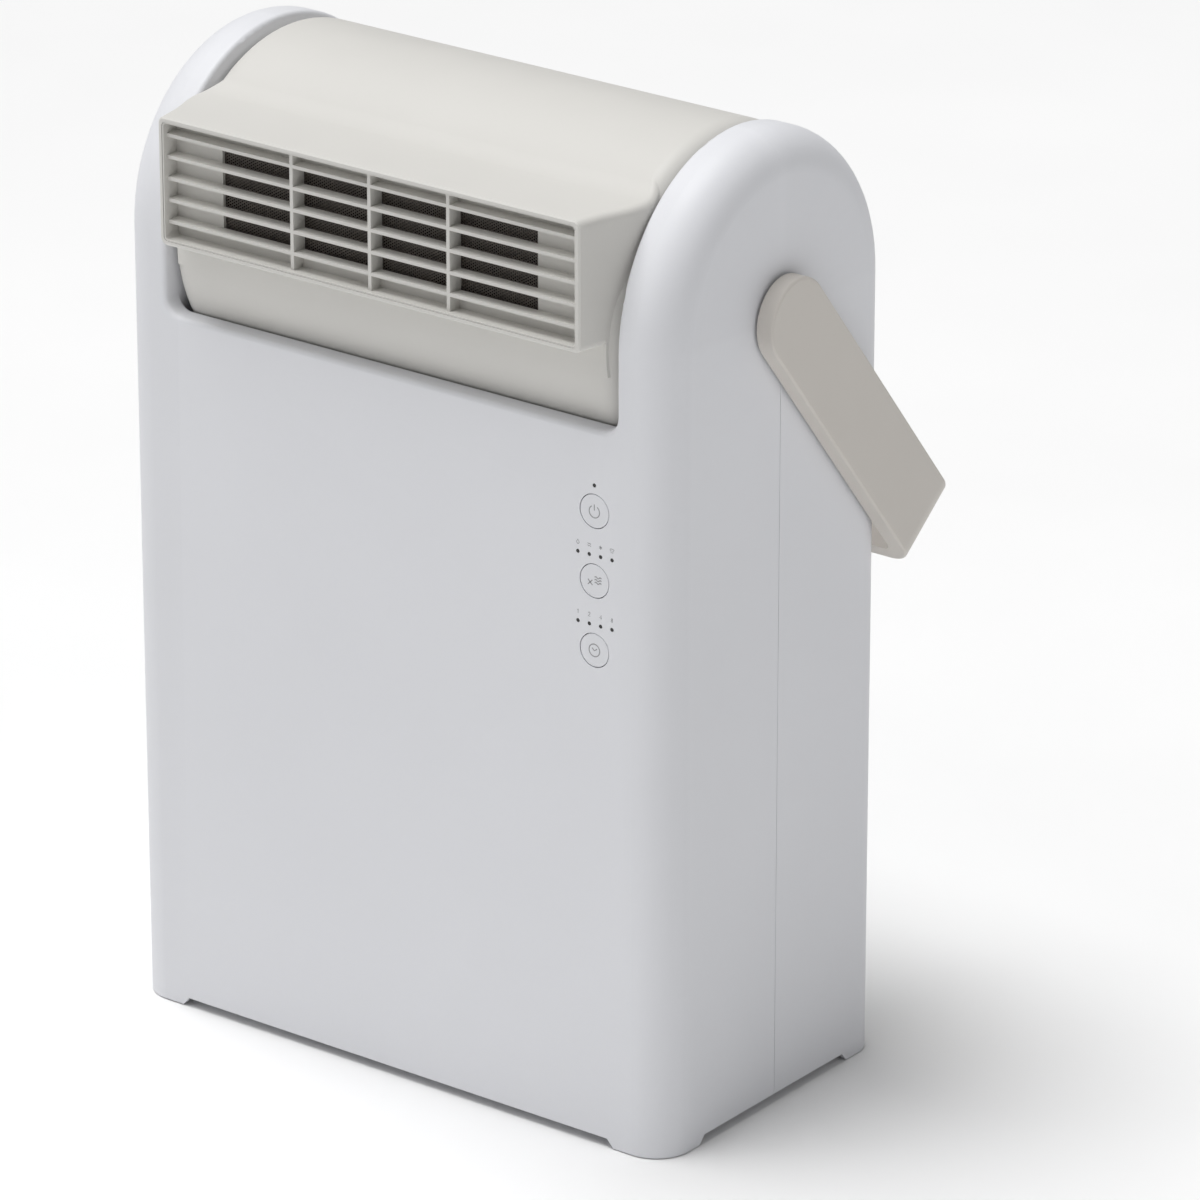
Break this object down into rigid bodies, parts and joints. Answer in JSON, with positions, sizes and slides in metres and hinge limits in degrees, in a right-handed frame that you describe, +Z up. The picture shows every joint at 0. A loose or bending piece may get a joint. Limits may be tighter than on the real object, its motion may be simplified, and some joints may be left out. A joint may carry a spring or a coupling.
{
  "type": "dehumidifier",
  "caption": "Upright room dehumidifier with arched side cheeks, a tilting outlet drum with a louvred nozzle, strap handle, push buttons, rear tank and filter.",
  "frame": {"origin": "middle of the whole object's footprint at rest, on the floor under the foot pads", "axes": "+X to the object's right seen from the front, +Y to the rear, +Z up"},
  "size_m": [0.328, 0.2152, 0.46],
  "materials": {
    "shell_white": "fine matte",
    "drum_grey": "fine matte",
    "grille_grey": "satin",
    "handle_greige": "fine matte",
    "button_white": "fine matte",
    "guard_dark": "dark",
    "pad_rubber": "matte",
    "inner_white": "moulded",
    "inner_black": "moulded",
    "gear_natural": "natural acetal",
    "steel": "turned",
    "motor_steel": "zinc",
    "heater_steel": "pressed",
    "heater_ribbon": "heat tinted",
    "desiccant": "porous ceramic paper",
    "tank_plastic": "frosted",
    "lid_plastic": "satin",
    "float_foam": "foam",
    "circuit": "solder mask",
    "light_clear": "smoked",
    "filter_mesh": "woven net",
    "screw_zinc": "zinc"
  },
  "bodies": {
    "casing": {"front_shell": "shell_white", "rear_shell": "shell_white", "base_plate": "shell_white", "foot_pads": "pad_rubber", "case_screws": "screw_zinc", "cord_gland": "inner_black", "drum_bearing_left": "gear_natural", "drum_bearing_right": "gear_natural", "handle_pivot_left": "inner_white", "handle_pivot_right": "inner_white", "swing_motor": "motor_steel", "drum_cradle": "inner_white", "outlet_duct": "inner_white", "fan_scroll": "inner_white", "scroll_cover": "inner_white", "fan_motor": "motor_steel", "rotor_frame": "inner_white", "rotor_axle": "steel", "rotor_motor": "motor_steel", "heater_unit": "heater_steel", "heater_wire": "heater_ribbon", "heat_exchanger": "inner_white", "regen_fan_housing": "inner_white", "regen_motor": "motor_steel", "regen_duct": "inner_white", "light_pipes": "light_clear", "control_board": "circuit", "tact_switches": "inner_black", "main_board": "circuit", "humidity_sensor": "circuit", "drain_tray": "inner_white", "tank_switch": "inner_black"},
    "drum": {"drum_shell": "drum_grey", "drum_hub_left": "drum_grey", "drum_hub_right": "drum_grey", "nozzle_grille": "grille_grey", "outlet_guard": "guard_dark", "drum_gear": "gear_natural"},
    "swing_drive": {"swing_pinion": "gear_natural"},
    "handle": {"carry_handle": "handle_greige"},
    "fan_rotor": {"main_fan": "inner_black", "fan_shaft": "steel"},
    "drying_rotor": {"rotor_carrier": "gear_natural", "desiccant_rotor": "desiccant"},
    "rotor_drive": {"rotor_pinion": "gear_natural"},
    "regen_rotor": {"regen_impeller": "inner_black", "regen_shaft": "steel"},
    "power_button": {"button_power": "button_white"},
    "mode_button": {"button_mode": "button_white"},
    "timer_button": {"button_timer": "button_white"},
    "tank": {"water_tank": "tank_plastic", "tank_lid": "lid_plastic", "float_pin": "steel"},
    "float": {"tank_float": "float_foam"},
    "filter_cassette": {"intake_grille": "shell_white", "filter_frame": "inner_white", "filter_mesh": "filter_mesh"}
  },
  "joints": [
    {"name": "drum_swing", "type": "hinge", "parent": "casing", "child": "drum", "pos_m": [0, -0.01163, 0.3775], "axis": [-1, 0, 0], "range_deg": [-20, 90]},
    {"name": "swing_pinion_spin", "type": "hinge", "parent": "casing", "child": "swing_drive", "pos_m": [0.131, -0.01163, 0.3385], "axis": [-1, 0, 0], "range_deg": [-305, 72]},
    {"name": "handle_swing", "type": "hinge", "parent": "casing", "child": "handle", "pos_m": [0, -0.01163, 0.3775], "axis": [1, 0, 0], "range_deg": [0, 150]},
    {"name": "fan_spin", "type": "hinge", "parent": "casing", "child": "fan_rotor", "pos_m": [0, -0.01163, 0.198], "axis": [0, 1, 0], "continuous": true},
    {"name": "rotor_spin", "type": "hinge", "parent": "casing", "child": "drying_rotor", "pos_m": [0, -0.01163, 0.198], "axis": [0, 1, 0], "continuous": true},
    {"name": "rotor_pinion_spin", "type": "hinge", "parent": "casing", "child": "rotor_drive", "pos_m": [0.0975, -0.01163, 0.198], "axis": [0, 1, 0], "continuous": true},
    {"name": "regen_fan_spin", "type": "hinge", "parent": "casing", "child": "regen_rotor", "pos_m": [-0.122, -0.01163, 0.232], "axis": [0, 1, 0], "continuous": true},
    {"name": "power_press", "type": "slide", "parent": "casing", "child": "power_button", "axis": [0, 1, 0], "range_m": [0, 0.0008], "stiffness_N_per_m": 500},
    {"name": "mode_press", "type": "slide", "parent": "casing", "child": "mode_button", "axis": [0, 1, 0], "range_m": [0, 0.0008], "stiffness_N_per_m": 500},
    {"name": "timer_press", "type": "slide", "parent": "casing", "child": "timer_button", "axis": [0, 1, 0], "range_m": [0, 0.0008], "stiffness_N_per_m": 500},
    {"name": "tank_slide", "type": "slide", "parent": "casing", "child": "tank", "axis": [0, 1, 0], "range_m": [0, 0.125]},
    {"name": "float_tilt", "type": "hinge", "parent": "tank", "child": "float", "pos_m": [-0.06, -0.00363, 0.088], "axis": [1, 0, 0], "range_deg": [0, 25]},
    {"name": "filter_pull", "type": "slide", "parent": "casing", "child": "filter_cassette", "axis": [0, 1, 0], "range_m": [0, 0.045]}
  ],
  "couplings": [
    {"joint": "swing_pinion_spin", "follows": "drum_swing", "ratio": -3.3333},
    {"joint": "rotor_pinion_spin", "follows": "rotor_spin", "ratio": -5.5}
  ]
}
